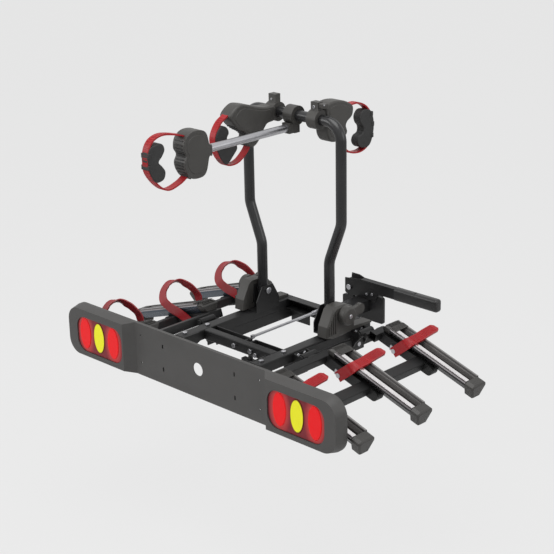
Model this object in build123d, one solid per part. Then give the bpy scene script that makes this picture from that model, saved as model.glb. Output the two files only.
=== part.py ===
from build123d import *
import math
import os

os.makedirs("parts", exist_ok=True)

# Datum. Stations are counted from the light board: x from its middle, y forward from its
# middle face, z up from its lower edge. Every piece is moved to the tow ball's centre at the end.
ball_y = 725.0
ball_z = 64.0

# Clearances
fit_gap = 0.05
running_gap = 0.3
seat_gap = 0.2

# How far a cutting solid runs past the face that it cuts
past = 1.0

# Platform frame of welded rectangular tube
frame_top = 122.0
frame_height = 30.0
side_inner = 133.5
side_width = 36.5
side_outer = side_inner + side_width
side_front = 69.0
side_back = 516.0
tube_wall = 2.0
tube_corner = 3.0
front_beam_y = 150.0
front_beam_depth = 25.0
tray_depth = 25.0
plate = 3.0
back_beam_depth = 29.0
back_beam_lip = 7.0

# Tilt joint between the platform and the coupling neck
tilt_y = 556.0
tilt_z = 86.0
tilt_pin_radius = 6.0
ear_plate = 5.0
ear_radius = 22.0
neck_width = 50.0
neck_height = 36.0
neck_wall = 4.0
neck_nose_radius = 20.0
pin_head_radius = 10.0
pin_head_height = 6.0

# Light board
board_half = 535.0
board_height = 156.0
board_corner = 50.0
board_wall = 3.0
board_rim = 10.0
pod_start = board_half - 277.0
pod_proud = 26.5
pod_taper = 14.0
pod_slope = 26.0
view_hole_radius = 19.0
view_hole_z = 85.0
slot_x = 143.0
slot_low = 44.0
slot_high = 112.0
slot_width = 6.0
slot_length = 14.0
plate_hole_x = 236.0
plate_hole_low = 39.0
plate_hole_high = plate_hole_low + 83.0
plate_hole_radius = 2.5

# Rear lamps
lens_x = board_half - 145.0
lens_z = 74.0
lens_width = 200.0
lens_height = 106.0
lens_corner = 36.0
lens_depth = 9.0
lens_inset = 4.0
lamp_step = 62.0
lamp_x = lens_x + 3.5
lamp_z = 77.0
lamp_width = 46.0
lamp_height = 92.0
lamp_raise = 2.0

# Brackets that carry the light board
bracket_plate = 4.0
bracket_half = 17.0
bracket_low = 32.0
bracket_back = 130.0
web_drop = 22.0
seat_lip = 2.0

# Folding arch
arch_y = 385.5
arch_radius = 15.0
arch_wall = 2.5
arch_foot_x = 131.8
arch_side_x = 177.5
arch_pivot_z = 182.0
arch_foot_z = 140.0
kink_low = 325.0
kink_high = 440.0
kink_bend = 60.0
arch_top = 722.0
arch_bend = 50.0
arch_bolt_radius = 6.0
foot_cheek = 3.5
foot_cheek_gap = 1.2
foot_half_length = 46.0
cheek_half = 22.0
cheek_shoulder = 32.0
foot_top = 197.0
bolt_head_radius = 9.0
bolt_head_height = 6.0

# Ribbed foot covers and their clamp knobs
cover_outer = 186.0
cover_wall = 3.0
cover_edge = 5.0
cover_front = -68.5
cover_back = 48.5
toe_y = -64.5
toe_z = 36.0
brow_y = -41.5
brow_z = 80.0
rib_count = 4
rib_pitch = 8.0
rib_width = 4.0
rib_proud = 2.5
rib_start = 12.0
boss_radius = 16.0
boss_proud = 3.0
tail_end = 508.0
tail_top = 128.0
tail_slope = 6.0
tail_outer = 181.0
knob_radius = 27.0
knob_length = 22.0
knob_edge = 5.0
paddle_inset = 2.0
paddle_end = 15.0
paddle_reach = 52.0
paddle_tip = 15.0
paddle_half = 13.0
paddle_rise = 8.0
bolt_proud = 3.0

# Side wings
droop = 17.8
wing_pivot_x = 202.0
wing_pivot_z = 112.0
hinge_plate = 4.0
hinge_pin_radius = 5.0
knuckle_radius = 11.0
knuckle_length = 44.0
hinge_front = 201.0
hinge_back = 435.0
hinge_ear = 5.0
hinge_low = 50.0
hinge_lip = 4.0
hinge_ear_rise = 8.0
hinge_ear_foot = 14.0
hinge_ear_drop = 30.0
hinge_head_radius = 8.5
hinge_head_height = 5.0
hinge_bolts = ((24, 69), (9, 109), (35, 109))
inner_tube_u = 16.0
inner_tube_width = 25.0
outer_tube_u = 183.5
outer_tube_width = 35.0
wing_tube_height = 25.0
rail_seat = 15.2
tube_front = 26.0
tube_back = 512.0
hinge_web_inset = 8.0
hinge_web_half = 8.0
inner_tube_tail = 23.0
inner_tube_lap = 21.0
arm_width = 25.0
arm_height = 30.0
arm_end = 232.0
arm_setback = 2.0

# Wheel rails
rail_front = 20.0
rail_pitch = 230.0
rail_count = 3
rail_width = 60.0
rail_height = 30.0
rail_start = 62.0
rail_length = 278.4
inner_cap = 26.0
outer_cap = 30.0
groove_top = 34.0
groove_bottom = 22.0
rail_floor = 8.0
lip_round = 6.0
lip_side = 12.0
rail_base = 18.0
hollow_wall = 2.4
side_wall = 3.4
core_rise = 2.0
mouth_drop = 4.0
mouth_edge = 3.0
cap_shoulder = 10.0
cap_edge = 4.0
cap_drop = 15.0
cap_point = 15.0
cap_slant = 12.0

# Wheel straps
strap_width = 30.0
strap_thick = 3.0
strap_u = 98.0
strap_pin_radius = 5.0
anchor_rise = 6.0
strap_off = 5.0
strap_pin_head = 2.3
strap_head_radius = 7.0
anchor_margin = 3.0
anchor_low = 6.0
anchor_high = 10.0
band_steps = 24

# Frame holders
clamp_length = 34.0
clamp_radius = 27.0
clamp_ear = 20.0
clamp_ear_height = 22.0
arm_radius = 11.0
arm_x = 3.0
arm_z = arch_top - 33.0
arm_front = arch_y - 327.5
arm_insert = 20.0
arm_stop = 8.0
socket_half = 14.0
socket_reach = 32.0
socket_stop = 6.0
clamp_inset = 4.0
clamp_lap = 6.0
holder_edge = 4.0
holder_width = 44.0
loop_width = 22.0
loop_thick = 3.5
pad_width = 26.0
middle_x = -70.0
inner_x = 90.0

# Outlines of the holders, their loops and pads, as (y, z) corners counted from the arch's top bar
outer_holder_line = [(-347.5, -82), (-363.5, -96), (-399.5, -94), (-418.5, -72), (-423.5, -50),
                     (-415.5, -32), (-424.5, -14), (-419.5, 12), (-397.5, 28), (-365.5, 28),
                     (-345.5, 16), (-335.5, -16), (-327.5, -18), (-327.5, -46), (-337.5, -48)]
outer_loop_line = [(-405.5, 16), (-429.5, 25), (-479.5, 35), (-512.5, 28), (-530.5, 8), (-535.5, -24),
                   (-531.5, -56), (-503.5, -92), (-471.5, -110), (-432.5, -102), (-405.5, -88)]
outer_pad_line = [(-535, -32), (-534.5, -6), (-526.5, 9), (-507.5, 14), (-489.5, 12), (-481.5, -6),
                  (-491.5, -20), (-501.5, -31), (-491.5, -42), (-481.5, -60), (-489.5, -78),
                  (-513.5, -78), (-529.5, -58)]
middle_holder_line = [(-189.5, 20), (-158.5, 44), (-127.5, 42), (-81.5, 28), (-51.5, 22), (-19.5, 18),
                      (-19.5, -18), (-51.5, -26), (-73.5, -54), (-89.5, -72), (-106.5, -80),
                      (-123.5, -72), (-121.5, -48), (-135.5, -33), (-155.5, -22), (-175.5, -6)]
middle_loop_line = [(-163.5, 30), (-187.5, 20), (-217.5, 2), (-236.5, -30), (-233.5, -62),
                    (-217.5, -94), (-192.5, -115), (-153.5, -114), (-119.5, -90), (-101.5, -62)]
middle_pad_line = [(-235.5, -32), (-227.5, -16), (-213.5, -6), (-195.5, -12), (-189.5, -28),
                   (-195.5, -42), (-183.5, -54), (-165.5, -58), (-159.5, -74), (-171.5, -88),
                   (-199.5, -100), (-211.5, -100), (-225.5, -76), (-233.5, -54)]
inner_holder_line = [(11.5, 35), (43.5, 44), (79.5, 41), (108.5, 30), (124.5, 16), (120.5, -8),
                     (100.5, -22), (95.5, -34), (100.5, -50), (88.5, -64), (62.5, -70), (34.5, -66),
                     (12.5, -44), (11.5, -32)]
inner_loop_line = [(100.5, 18), (124.5, 19), (160.5, 18), (194.5, 0), (214.5, -32), (217.5, -66),
                   (204.5, -102), (170.5, -120), (124.5, -115), (94.5, -90), (80.5, -54)]
inner_pad_line = [(213.5, -32), (202.5, -12), (176.5, -6), (162.5, -20), (164.5, -38), (176.5, -52),
                  (174.5, -68), (158.5, -76), (152.5, -92), (164.5, -106), (190.5, -106), (206.5, -94),
                  (216.5, -66)]

# Coupling
head_left = -84.0
head_right = 77.0
head_plate = 10.0
cup_half = 31.0
plate_low = 37.0
ledge_top = 98.0
ledge_end = 44.0
ledge_rise = 12.0
cup_top = 112.0
cup_edge = 4.0
head_low = 52.0
head_top = 120.0
head_front = 680.0
head_round = 6.0
socket_radius = 25.2
jaw_half = 15.5
jaw_pin_y = 692.4
jaw_pin_z = 88.0
jaw_pin_radius = 3.5
jaw_boss = 6.5
jaw_pin_reach = 7.0
jaw_top = 95.0
jaw_low = 38.0
pocket_top = 98.0
jaw_front = 690.0
jaw_back = 698.6
pocket_front = 685.5
pocket_back = 699.4
neck_seat = 683.0
lever_pivot_x = -53.0
lever_pivot_z = 128.0
lever_pin_radius = 5.0
lever_end = 200.0
lever_low = 129.0
lever_high = 162.0
lever_plate = 3.0
lever_width = 20.0
lever_gap = 3.5
lug_radius = 12.0
root_low = 105.0
lever_root_back = -71.0
lever_root_front = 48.0
grip_start = 124.0
grip_end = 284.0
grip_wall = 3.0
grip_notch = 196.0
grip_round = 9.0
grip_notch_width = 5.0
grip_notch_depth = 1.5
root_slope = 14.0
web_start = -8.0
root_high = 154.0
root_cover_start = -62.0
far_high = 168.0
lug_gap = 2.0
lever_rivets = ((15.7, 120.3), (36.9, 124.3))
rivet_radius = 4.0
rivet_proud = 1.5

# Bolt heads of the frame
hex_radius = 7.5
hex_height = 5.0
beam_bolts = ((-12, 107), (52, 107), (72, 100))
member_bolts = (24, 110)

# Tilt release
rod_radius = 4.0
rod_x = 15.0
rod_front = 201.5
rod_back = 548.0
rod_tip_height = 10.0
crank_y = 186.0
crank_z = 107.0
crank_pin_radius = 4.0
crank_half = 5.0
crank_eye_radius = 7.5
crank_lug_gap = 8.0
crank_lug_reach = 14.0
crank_drop = 58.0
pedal_half = 30.0
pedal_thick = 12.0
spring_wire = 0.9
spring_turns = 9
spring_length = 46.0
spring_back_gap = 4.0


def block(x0, x1, y0, y1, z0, z1):
    middle = Pos((x0 + x1) / 2, (y0 + y1) / 2, (z0 + z1) / 2)
    return middle * Box(abs(x1 - x0), abs(y1 - y0), abs(z1 - z0))


def bar(start, end, radius):
    way = Vector(*end) - Vector(*start)
    return Solid.make_cylinder(radius, way.length, Plane(origin=start, z_dir=way))


def along_x(points, x0, x1):
    """Prism of a (y, z) outline between two x stations."""
    outline = make_face(Polyline(*points, close=True))
    return extrude(Plane.YZ.offset(x0) * outline, amount=x1 - x0)


def along_y(points, y0, y1):
    """Prism of an (x, z) outline between two y stations."""
    outline = make_face(Polyline(*points, close=True))
    face_plane = Plane(origin=(0, y1, 0), x_dir=(1, 0, 0), z_dir=(0, -1, 0))
    return extrude(face_plane * outline, amount=y1 - y0)


def at_y(y):
    return Plane(origin=(0, y, 0), x_dir=(1, 0, 0), z_dir=(0, -1, 0))


def tube_y(x0, x1, y0, y1, z0, z1):
    """Rectangular tube along y with rounded outer corners."""
    outside = fillet(block(x0, x1, y0, y1, z0, z1).edges().filter_by(Axis.Y), tube_corner)
    inside = block(x0 + tube_wall, x1 - tube_wall, y0, y1, z0 + tube_wall, z1 - tube_wall)
    return outside - inside


def tube_x(x0, x1, y0, y1, z0, z1):
    outside = fillet(block(x0, x1, y0, y1, z0, z1).edges().filter_by(Axis.X), tube_corner)
    inside = block(x0, x1, y0 + tube_wall, y1 - tube_wall, z0 + tube_wall, z1 - tube_wall)
    return outside - inside


def mirrored(shape):
    return mirror(shape, about=Plane.YZ)


def both_sides(shape):
    return Compound(children=[shape, mirrored(shape)])


frame_low = frame_top - frame_height
side_middle = side_inner + side_width / 2
rod_z = frame_top + rod_radius + running_gap
spring_radius = rod_radius + spring_wire + running_gap
pieces = {}


def side_member():
    return tube_y(side_inner, side_outer, side_front, side_back, frame_low, frame_top)


def front_crossmember():
    back = front_beam_y + front_beam_depth
    beam = tube_x(-side_inner, side_inner, front_beam_y, back, frame_low, frame_top)
    tray = block(-side_inner, side_inner, back - tube_corner, back + tray_depth, frame_low, frame_low + plate)
    lip_y = back + tray_depth - plate
    lip = block(-side_inner, side_inner, lip_y, back + tray_depth, frame_low, frame_top - plate)
    gap = crank_lug_gap
    lugs = block(rod_x - crank_lug_reach, rod_x - gap, back, lip_y, frame_low, frame_top - plate)
    lugs += block(rod_x + gap, rod_x + crank_lug_reach, back, lip_y, frame_low, frame_top - plate)
    reach = crank_lug_reach + past
    pin_hole = bar((rod_x - reach, crank_y, crank_z), (rod_x + reach, crank_y, crank_z), crank_pin_radius + fit_gap)
    tray_end = back + tray_depth + past
    window = block(rod_x - gap, rod_x + gap, back - past, tray_end, frame_low - past, frame_low + plate + past)
    window += block(rod_x - gap, rod_x + gap, lip_y - past, tray_end, frame_low - past, frame_top)
    return beam + tray + lip + lugs - pin_hole - window


def rear_crossmember():
    front = side_back - back_beam_depth
    half = side_inner
    beam = block(-half, half, front, side_back, frame_top - plate, frame_top)
    beam += block(-half, half, side_back - plate, side_back, frame_low, frame_top)
    beam += block(-half, half, front - back_beam_lip, side_back, frame_low, frame_low + plate)
    ear_inner = neck_width / 2 + running_gap
    ears = None
    for side in (-1, 1):
        x0 = side * ear_inner
        x1 = side * (ear_inner + ear_plate)
        ear = block(x0, x1, side_back, tilt_y, tilt_z - ear_radius, tilt_z + ear_radius)
        ear += bar((x0, tilt_y, tilt_z), (x1, tilt_y, tilt_z), ear_radius)
        ears = ear if ears is None else ears + ear
    reach = ear_inner + ear_plate + past
    hole = bar((-reach, tilt_y, tilt_z), (reach, tilt_y, tilt_z), tilt_pin_radius + fit_gap)
    return beam + ears - hole


def rounded_board(half, low, high, corner):
    middle = (low + high) / 2
    return Pos(0, middle) * RectangleRounded(2 * half, high - low, corner)


def pod_slab(start, depth):
    """Everything outboard of a sloping step in the board's face."""
    slope = pod_slope
    outside = board_half + past
    points = [(start, board_rim), (start, 0), (start + slope, -depth), (outside, -depth - past),
              (outside, board_rim)]
    return extrude(make_face(Polyline(*points, close=True)), amount=board_height)


def light_board():
    outline = rounded_board(board_half, 0, board_height, board_corner)
    shell = extrude(at_y(board_rim) * outline, amount=board_rim)
    hollow = rounded_board(board_half - board_wall, board_wall, board_height - board_wall,
                           board_corner - board_wall)
    pod = extrude(at_y(0) * outline, amount=pod_proud, taper=pod_taper)
    pod = pod & pod_slab(pod_start, pod_proud)
    core_depth = pod_proud - lens_depth - lens_inset - board_wall
    core = extrude(at_y(board_wall) * hollow, amount=board_wall + core_depth, taper=pod_taper)
    pod_hollow = core & pod_slab(pod_start + 2 * board_wall, pod_proud)
    lens_outline = Pos(lens_x, lens_z) * RectangleRounded(
        lens_width + 2 * seat_gap, lens_height + 2 * seat_gap, lens_corner)
    recess_floor = lens_depth + lens_inset
    recess = extrude(at_y(-pod_proud + recess_floor) * lens_outline, amount=recess_floor + past)
    board = shell + pod + mirrored(pod)
    board -= extrude(at_y(board_rim) * hollow, amount=board_rim - board_wall)
    board = board - pod_hollow - mirrored(pod_hollow) - recess - mirrored(recess)
    through = board_wall + past
    board -= bar((0, -past, view_hole_z), (0, through, view_hole_z), view_hole_radius)
    for x in (-slot_x, slot_x):
        for z in (slot_low, slot_high):
            slot = Pos(x, z) * SlotOverall(slot_length, slot_width, rotation=90)
            board -= extrude(at_y(through) * slot, amount=through + past)
    for x in (-plate_hole_x, plate_hole_x):
        for z in (plate_hole_low, plate_hole_high):
            board -= bar((x, -past, z), (x, through, z), plate_hole_radius)
    return board


def lamp_lens():
    back = -pod_proud + lens_depth + lens_inset
    outline = Pos(lens_x, lens_z) * RectangleRounded(lens_width, lens_height, lens_corner)
    lens = extrude(at_y(back) * outline, amount=lens_depth)
    for step in (-lamp_step, lamp_step):
        optic = Pos(lamp_x + step, lamp_z) * Ellipse(lamp_width / 2, lamp_height / 2)
        lens += extrude(at_y(back) * optic, amount=lens_depth + lamp_raise)
    seat = Pos(lamp_x, lamp_z) * Ellipse(lamp_width / 2 + seat_gap, lamp_height / 2 + seat_gap)
    return lens - extrude(at_y(back + past) * seat, amount=lens_depth + 2 * past)


def turn_lamp():
    back = -pod_proud + lens_depth + lens_inset
    optic = Pos(lamp_x, lamp_z) * Ellipse(lamp_width / 2, lamp_height / 2)
    return extrude(at_y(back) * optic, amount=lens_depth + lamp_raise)


def board_bracket():
    face_back = board_wall + bracket_plate
    face = block(slot_x - bracket_half, slot_x + bracket_half, board_wall, face_back,
                 bracket_low, frame_top + seat_lip)
    web_points = [(face_back, bracket_low), (face_back, frame_top), (bracket_back, frame_top),
                  (bracket_back, frame_low + plate), (side_front, frame_low - web_drop),
                  (face_back + web_drop, bracket_low)]
    web = along_x(web_points, side_inner - bracket_plate, side_inner)
    bracket = face + web
    for z in (slot_low, slot_high):
        slot = Pos(slot_x, z) * SlotOverall(slot_length, slot_width, rotation=90)
        bracket -= extrude(at_y(face_back + past) * slot, amount=bracket_plate + 2 * past)
    return bracket


def arch_path():
    half = [(-arch_side_x, arch_top), (-arch_side_x, kink_high), (-arch_foot_x, kink_low),
            (-arch_foot_x, arch_foot_z)]
    points = list(reversed(half)) + [(-x, z) for x, z in half]
    line = FilletPolyline(*points, radius=[kink_bend, kink_bend, arch_bend, arch_bend, kink_bend, kink_bend])
    return Plane(origin=(0, arch_y, 0), x_dir=(1, 0, 0), z_dir=(0, -1, 0)) * line


def arch_tube():
    path = arch_path()
    ring = Plane(origin=path @ 0, z_dir=path % 0) * (Circle(arch_radius) - Circle(arch_radius - arch_wall))
    tube = sweep(ring, path=path)
    for side in (-1, 1):
        x = side * arch_foot_x
        tube -= bar((x - 2 * arch_radius, arch_y, arch_pivot_z), (x + 2 * arch_radius, arch_y, arch_pivot_z),
                    arch_bolt_radius + fit_gap)
    return tube


def foot_bracket():
    inner = arch_foot_x - arch_radius - foot_cheek_gap
    outer = arch_foot_x + arch_radius + foot_cheek_gap
    front = arch_y - foot_half_length
    back = arch_y + foot_half_length
    base = block(inner - foot_cheek, side_outer, front, back, frame_top, frame_top + plate)
    shoulder = frame_top + cheek_shoulder
    cheek_points = [(front, frame_top), (front, shoulder), (arch_y - cheek_half, foot_top),
                    (arch_y + cheek_half, foot_top), (back, shoulder), (back, frame_top)]
    bracket = base + along_x(cheek_points, inner - foot_cheek, inner)
    far_points = [(arch_y - cheek_half, frame_top), (arch_y - cheek_half, foot_top), (arch_y + cheek_half, foot_top),
                  (arch_y + cheek_half, frame_top)]
    bracket += along_x(far_points, outer, outer + foot_cheek)
    inside = inner - foot_cheek - past
    outside = outer + foot_cheek + past
    bracket -= bar((inside, arch_y, arch_pivot_z), (outside, arch_y, arch_pivot_z), arch_bolt_radius + fit_gap)
    return bracket


def arch_bolt():
    inner = arch_foot_x - arch_radius - foot_cheek_gap - foot_cheek
    outer = cover_outer + boss_proud + running_gap + knob_length + bolt_proud
    shaft = bar((inner - bolt_head_height, arch_y, arch_pivot_z), (outer, arch_y, arch_pivot_z),
                arch_bolt_radius)
    head = bar((inner - bolt_head_height, arch_y, arch_pivot_z), (inner, arch_y, arch_pivot_z),
               bolt_head_radius)
    return shaft + head


def cover_outline():
    """Side view of the cover, as (y, z) corners counted from the arch bolt and the frame top."""
    corners = [(cover_front, 5), (toe_y, toe_z), (brow_y, brow_z), (-29.5, 88), (6.5, 88), (40.5, 74),
               (cover_back, 50), (cover_back - 2, 2), (2.5, -3), (-39.5, -3)]
    return [(y + arch_y, z + frame_top) for y, z in corners]


def foot_cover():
    inner_x = arch_foot_x + arch_radius + foot_cheek_gap
    cheek_outer = inner_x + foot_cheek
    above_frame = frame_top + plate + seat_gap
    body = along_x(cover_outline(), side_outer + seat_gap, cover_outer)
    above = [(y, max(z, above_frame)) for y, z in cover_outline()[:8]]
    body += along_x(above, inner_x, side_outer + seat_gap)
    body = chamfer(body.faces().sort_by(Axis.X)[-1].edges(), cover_edge)
    body -= block(inner_x - past, cheek_outer + seat_gap, arch_y - cheek_half - seat_gap,
                  arch_y + cheek_half + seat_gap, frame_top, foot_top + seat_gap)
    hollow = [(arch_y - 27, frame_top + 18), (arch_y - 23, frame_top + 68), (arch_y + 7, frame_top + 68),
              (arch_y + 19, frame_top + 64), (arch_y + 19, frame_top + 18)]
    body -= along_x(hollow, inner_x - past, cover_outer - cover_wall)
    slope = (brow_z - toe_z) / (brow_y - toe_y)
    for index in range(rib_count):
        y = toe_y + cover_edge + index * rib_pitch
        rib_top = frame_top + min(brow_z, toe_z + slope * (y - toe_y)) - cover_edge
        body += block(cover_outer - cover_edge, cover_outer + rib_proud, arch_y + y, arch_y + y + rib_width,
                      frame_top + rib_start, rib_top)
    body += bar((cover_outer - cover_wall, arch_y, arch_pivot_z), (cover_outer + boss_proud, arch_y, arch_pivot_z),
                boss_radius)
    tail_start = arch_y + foot_half_length + seat_gap
    tail = along_x([(arch_y + cover_back - cover_edge, above_frame), (tail_start, above_frame),
                    (tail_start, frame_top + seat_gap), (tail_end, frame_top + seat_gap), (tail_end, tail_top),
                    (arch_y + cover_back - cover_edge, tail_top + tail_slope)], inner_x, tail_outer)
    body += tail
    return body - bar((inner_x - past, arch_y, arch_pivot_z), (cover_outer + boss_proud + past, arch_y, arch_pivot_z),
                      arch_bolt_radius + fit_gap)


def foot_knob():
    start = cover_outer + boss_proud + running_gap
    end = start + knob_length
    knob = bar((start, arch_y, arch_pivot_z), (end, arch_y, arch_pivot_z), knob_radius)
    knob = chamfer(knob.edges().sort_by(Axis.X)[-1], knob_edge)
    paddle = bar((start + paddle_inset, arch_y + paddle_reach, arch_pivot_z),
                 (start + paddle_end, arch_y + paddle_reach, arch_pivot_z), paddle_tip)
    paddle += block(start + paddle_inset, start + paddle_end, arch_y, arch_y + paddle_reach,
                    arch_pivot_z - paddle_half, arch_pivot_z + paddle_half)
    turn = Pos(0, arch_y, arch_pivot_z) * Rot(paddle_rise, 0, 0) * Pos(0, -arch_y, -arch_pivot_z)
    knob += turn * paddle
    return knob - bar((start - past, arch_y, arch_pivot_z), (end + past, arch_y, arch_pivot_z),
                      arch_bolt_radius + fit_gap)


def hinge_bracket():
    x0 = side_outer
    x1 = side_outer + hinge_plate
    high = frame_top - hinge_lip
    bracket = block(x0, x1, hinge_front - hinge_ear, hinge_back + knuckle_length + hinge_ear, frame_low + hinge_lip, high)
    for start in (hinge_front, hinge_back):
        bracket += block(x0, x1, start - hinge_ear, start + knuckle_length + hinge_ear, hinge_low, high)
        for y in (start - hinge_ear, start + knuckle_length):
            ear = along_y([(x1, hinge_low + hinge_ear_rise), (x1 + hinge_ear_foot, wing_pivot_z - hinge_ear_drop),
                           (wing_pivot_x + knuckle_radius - 2, wing_pivot_z - knuckle_radius / 2),
                           (wing_pivot_x, wing_pivot_z), (x1, high)], y, y + hinge_ear)
            ear += bar((wing_pivot_x, y, wing_pivot_z), (wing_pivot_x, y + hinge_ear, wing_pivot_z),
                       knuckle_radius)
            bracket += ear
        bracket -= bar((wing_pivot_x, start - hinge_ear - past, wing_pivot_z),
                       (wing_pivot_x, start + knuckle_length + hinge_ear + past, wing_pivot_z),
                       hinge_pin_radius + fit_gap)
    return bracket


def hinge_pins():
    pins = None
    for start in (hinge_front, hinge_back):
        first = start - hinge_ear - hinge_head_height
        last = start + knuckle_length + hinge_ear + bolt_proud
        pin = bar((wing_pivot_x, first, wing_pivot_z), (wing_pivot_x, last, wing_pivot_z), hinge_pin_radius)
        pin += bar((wing_pivot_x, first, wing_pivot_z), (wing_pivot_x, first + hinge_head_height, wing_pivot_z),
                   hinge_head_radius)
        pins = pin if pins is None else pins + pin
    return pins


wing_place = Pos(wing_pivot_x, 0, wing_pivot_z) * Rot(0, droop, 0)


def wing_frame():
    seat = rail_seat
    low = seat - wing_tube_height
    inner_end = inner_tube_u + inner_tube_width
    middle_arm_end = rail_front + arm_setback + rail_pitch + arm_width
    tubes = tube_y(inner_tube_u, inner_end, tube_front, middle_arm_end + inner_tube_tail, low, seat)
    tubes += tube_y(inner_tube_u, inner_end, hinge_back + inner_tube_lap, tube_back, low, seat)
    half = outer_tube_width / 2
    tubes += tube_y(outer_tube_u - half, outer_tube_u + half, tube_front, tube_back, low, seat)
    frame = tubes
    for index in range(rail_count):
        y0 = rail_front + arm_setback + index * rail_pitch
        nose = arm_height / 2
        arm = block(inner_tube_u, arm_end - nose, y0, y0 + arm_width, seat - arm_height, seat)
        arm += bar((arm_end - nose, y0, seat - nose), (arm_end - nose, y0 + arm_width, seat - nose), nose)
        frame += arm
    for start in (hinge_front, hinge_back):
        y0 = start + running_gap
        y1 = start + knuckle_length - running_gap
        frame += bar((0, y0, 0), (0, y1, 0), knuckle_radius)
        frame += block(0, inner_tube_u + tube_wall, y0 + hinge_web_inset, y1 - hinge_web_inset,
                       -hinge_web_half, hinge_web_half)
        frame -= bar((0, y0 - 1, 0), (0, y1 + 1, 0), hinge_pin_radius + fit_gap)
    return wing_place * frame


def rail_section():
    half = rail_width / 2
    top = rail_height
    right = [(groove_bottom / 2, rail_floor), (groove_top / 2, top - mouth_drop), (groove_top / 2 + mouth_edge, top),
             (half - lip_round, top), (half, top - lip_round), (half, top - lip_side), (rail_base, 0)]
    return right + [(-y, w) for y, w in reversed(right)]


def wheel_rail(index):
    middle = rail_front + rail_width / 2 + index * rail_pitch
    points = [(y + middle, w + rail_seat) for y, w in rail_section()]
    rail = along_x(points, rail_start, rail_start + rail_length)
    inner = rail_width / 2 - side_wall
    core_low = rail_floor + core_rise
    for side in (-1, 1):
        core = [(side * (groove_bottom / 2 + side_wall), core_low), (side * (rail_base + mouth_edge), core_low),
                (side * inner, rail_height - lip_side), (side * inner, rail_height - lip_round - past),
                (side * (inner - mouth_edge), rail_height - hollow_wall),
                (side * (groove_top / 2 + side_wall), rail_height - hollow_wall)]
        core_points = [(y + middle, w + rail_seat) for y, w in core]
        rail -= along_x(core_points, rail_start - past, rail_start + rail_length + past)
    return wing_place * rail


def rail_caps():
    caps = None
    for index in range(rail_count):
        middle = rail_front + rail_width / 2 + index * rail_pitch
        half = rail_width / 2
        shoulders = [(half, rail_height - lip_side), (half, rail_height - lip_round), (half - cap_shoulder, rail_height),
                     (cap_shoulder - half, rail_height), (-half, rail_height - lip_round), (-half, rail_height - lip_side)]
        inner_points = shoulders + [(-rail_base, 0), (rail_base, 0)]
        outer_points = shoulders + [(-cap_point, -cap_drop), (cap_point, -cap_drop)]
        inner = along_x([(y + middle, w + rail_seat) for y, w in inner_points], rail_start - inner_cap, rail_start)
        inner = chamfer(inner.faces().sort_by(Axis.X)[0].edges().sort_by(Axis.Z)[-1], cap_slant)
        outer = along_x([(y + middle, w + rail_seat) for y, w in outer_points], rail_start + rail_length,
                        rail_start + rail_length + outer_cap)
        outer = chamfer(outer.faces().sort_by(Axis.X)[-1].edges(), cap_edge)
        pair = inner + outer
        caps = pair if caps is None else caps + pair
    return wing_place * caps


def band(points, across, width, thick):
    """Flat strap of even section that follows a smooth line, its width kept along one direction."""
    line = Spline(*points)
    sections = []
    for step in range(band_steps + 1):
        place = step / band_steps
        way = line % place
        side = Vector(*across)
        side = (side - way * side.dot(way)).normalized()
        section_plane = Plane(origin=line @ place, x_dir=side, z_dir=way)
        sections.append(section_plane * Rectangle(width, thick))
    return loft(sections, ruled=True)


def anchor_hole(near):
    centre = rail_seat - arm_height + anchor_rise
    return bar((strap_u, near - 2 * strap_off, centre), (strap_u, near, centre), strap_pin_radius + seat_gap)


def right_strap(index):
    near = rail_front + index * rail_pitch
    top = rail_seat + rail_height
    start = near - strap_off
    points = [(strap_u, start, -14), (strap_u + 6, start, -4), (strap_u + 22, start, 20),
              (strap_u + 34, near - 4, top - 7.2), (strap_u + 40, near + 8, top + 3), (strap_u + 39, near + 34, top + 3),
              (strap_u + 35, near + rail_width + 2, top + 3), (strap_u + 30, near + rail_width + 36, top + 1),
              (strap_u + 25, near + rail_width + 71, top - 2)]
    strap = band(points, (1, 0, 0), strap_width, strap_thick)
    return wing_place * (strap - anchor_hole(near))


def left_strap(index):
    near = rail_front + index * rail_pitch
    far = near + rail_width
    start = near - strap_off
    points = [(strap_u, start, -14), (strap_u + 12, start, -2), (strap_u + 45, start, 22), (strap_u + 82, start, 43),
              (strap_u + 109, near - 2, 65), (strap_u + 122, near + 12, 86), (strap_u + 118, near + 26, 103),
              (strap_u + 101, near + 35, 111), (strap_u + 70, near + 43, 110), (strap_u + 45, far - 10, 97),
              (strap_u + 30, far - 4, 80), (strap_u + 26, far + 4, 60), (strap_u + 29, far + 5, 36)]
    strap = band(points, (1, 0, 0), strap_width, strap_thick)
    return wing_place * (strap - anchor_hole(near))


def strap_anchors():
    anchors = None
    half = strap_width / 2 + anchor_margin
    low = rail_seat - arm_height + anchor_rise
    for index in range(rail_count):
        near = rail_front + index * rail_pitch
        seat = near - strap_off + strap_thick / 2 + seat_gap
        front = near - strap_off - strap_thick / 2 - seat_gap
        pad = block(strap_u - half, strap_u + half, seat, near + arm_setback, low - anchor_low, low + anchor_high)
        pin = bar((strap_u, front - strap_pin_head, low), (strap_u, front, low), strap_head_radius)
        pin += bar((strap_u, front, low), (strap_u, seat, low), strap_pin_radius)
        pair = pad + pin
        anchors = pair if anchors is None else anchors + pair
    return wing_place * anchors


def bar_clamp(x, up):
    half = clamp_length / 2
    ring = bar((x - half, arch_y, arch_top), (x + half, arch_y, arch_top), clamp_radius)
    side = 1 if up else -1
    ear_low = arch_top + side * (clamp_radius - clamp_lap)
    ear_high = arch_top + side * (clamp_radius + clamp_ear_height)
    ear = block(x - half + clamp_inset, x + half - clamp_inset, arch_y - clamp_ear / 2, arch_y + clamp_ear / 2, ear_low, ear_high)
    clamp = ring + ear
    reach = half + past
    clamp -= bar((x - reach, arch_y, arch_top), (x + reach, arch_y, arch_top), arch_radius + seat_gap)
    return clamp


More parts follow.
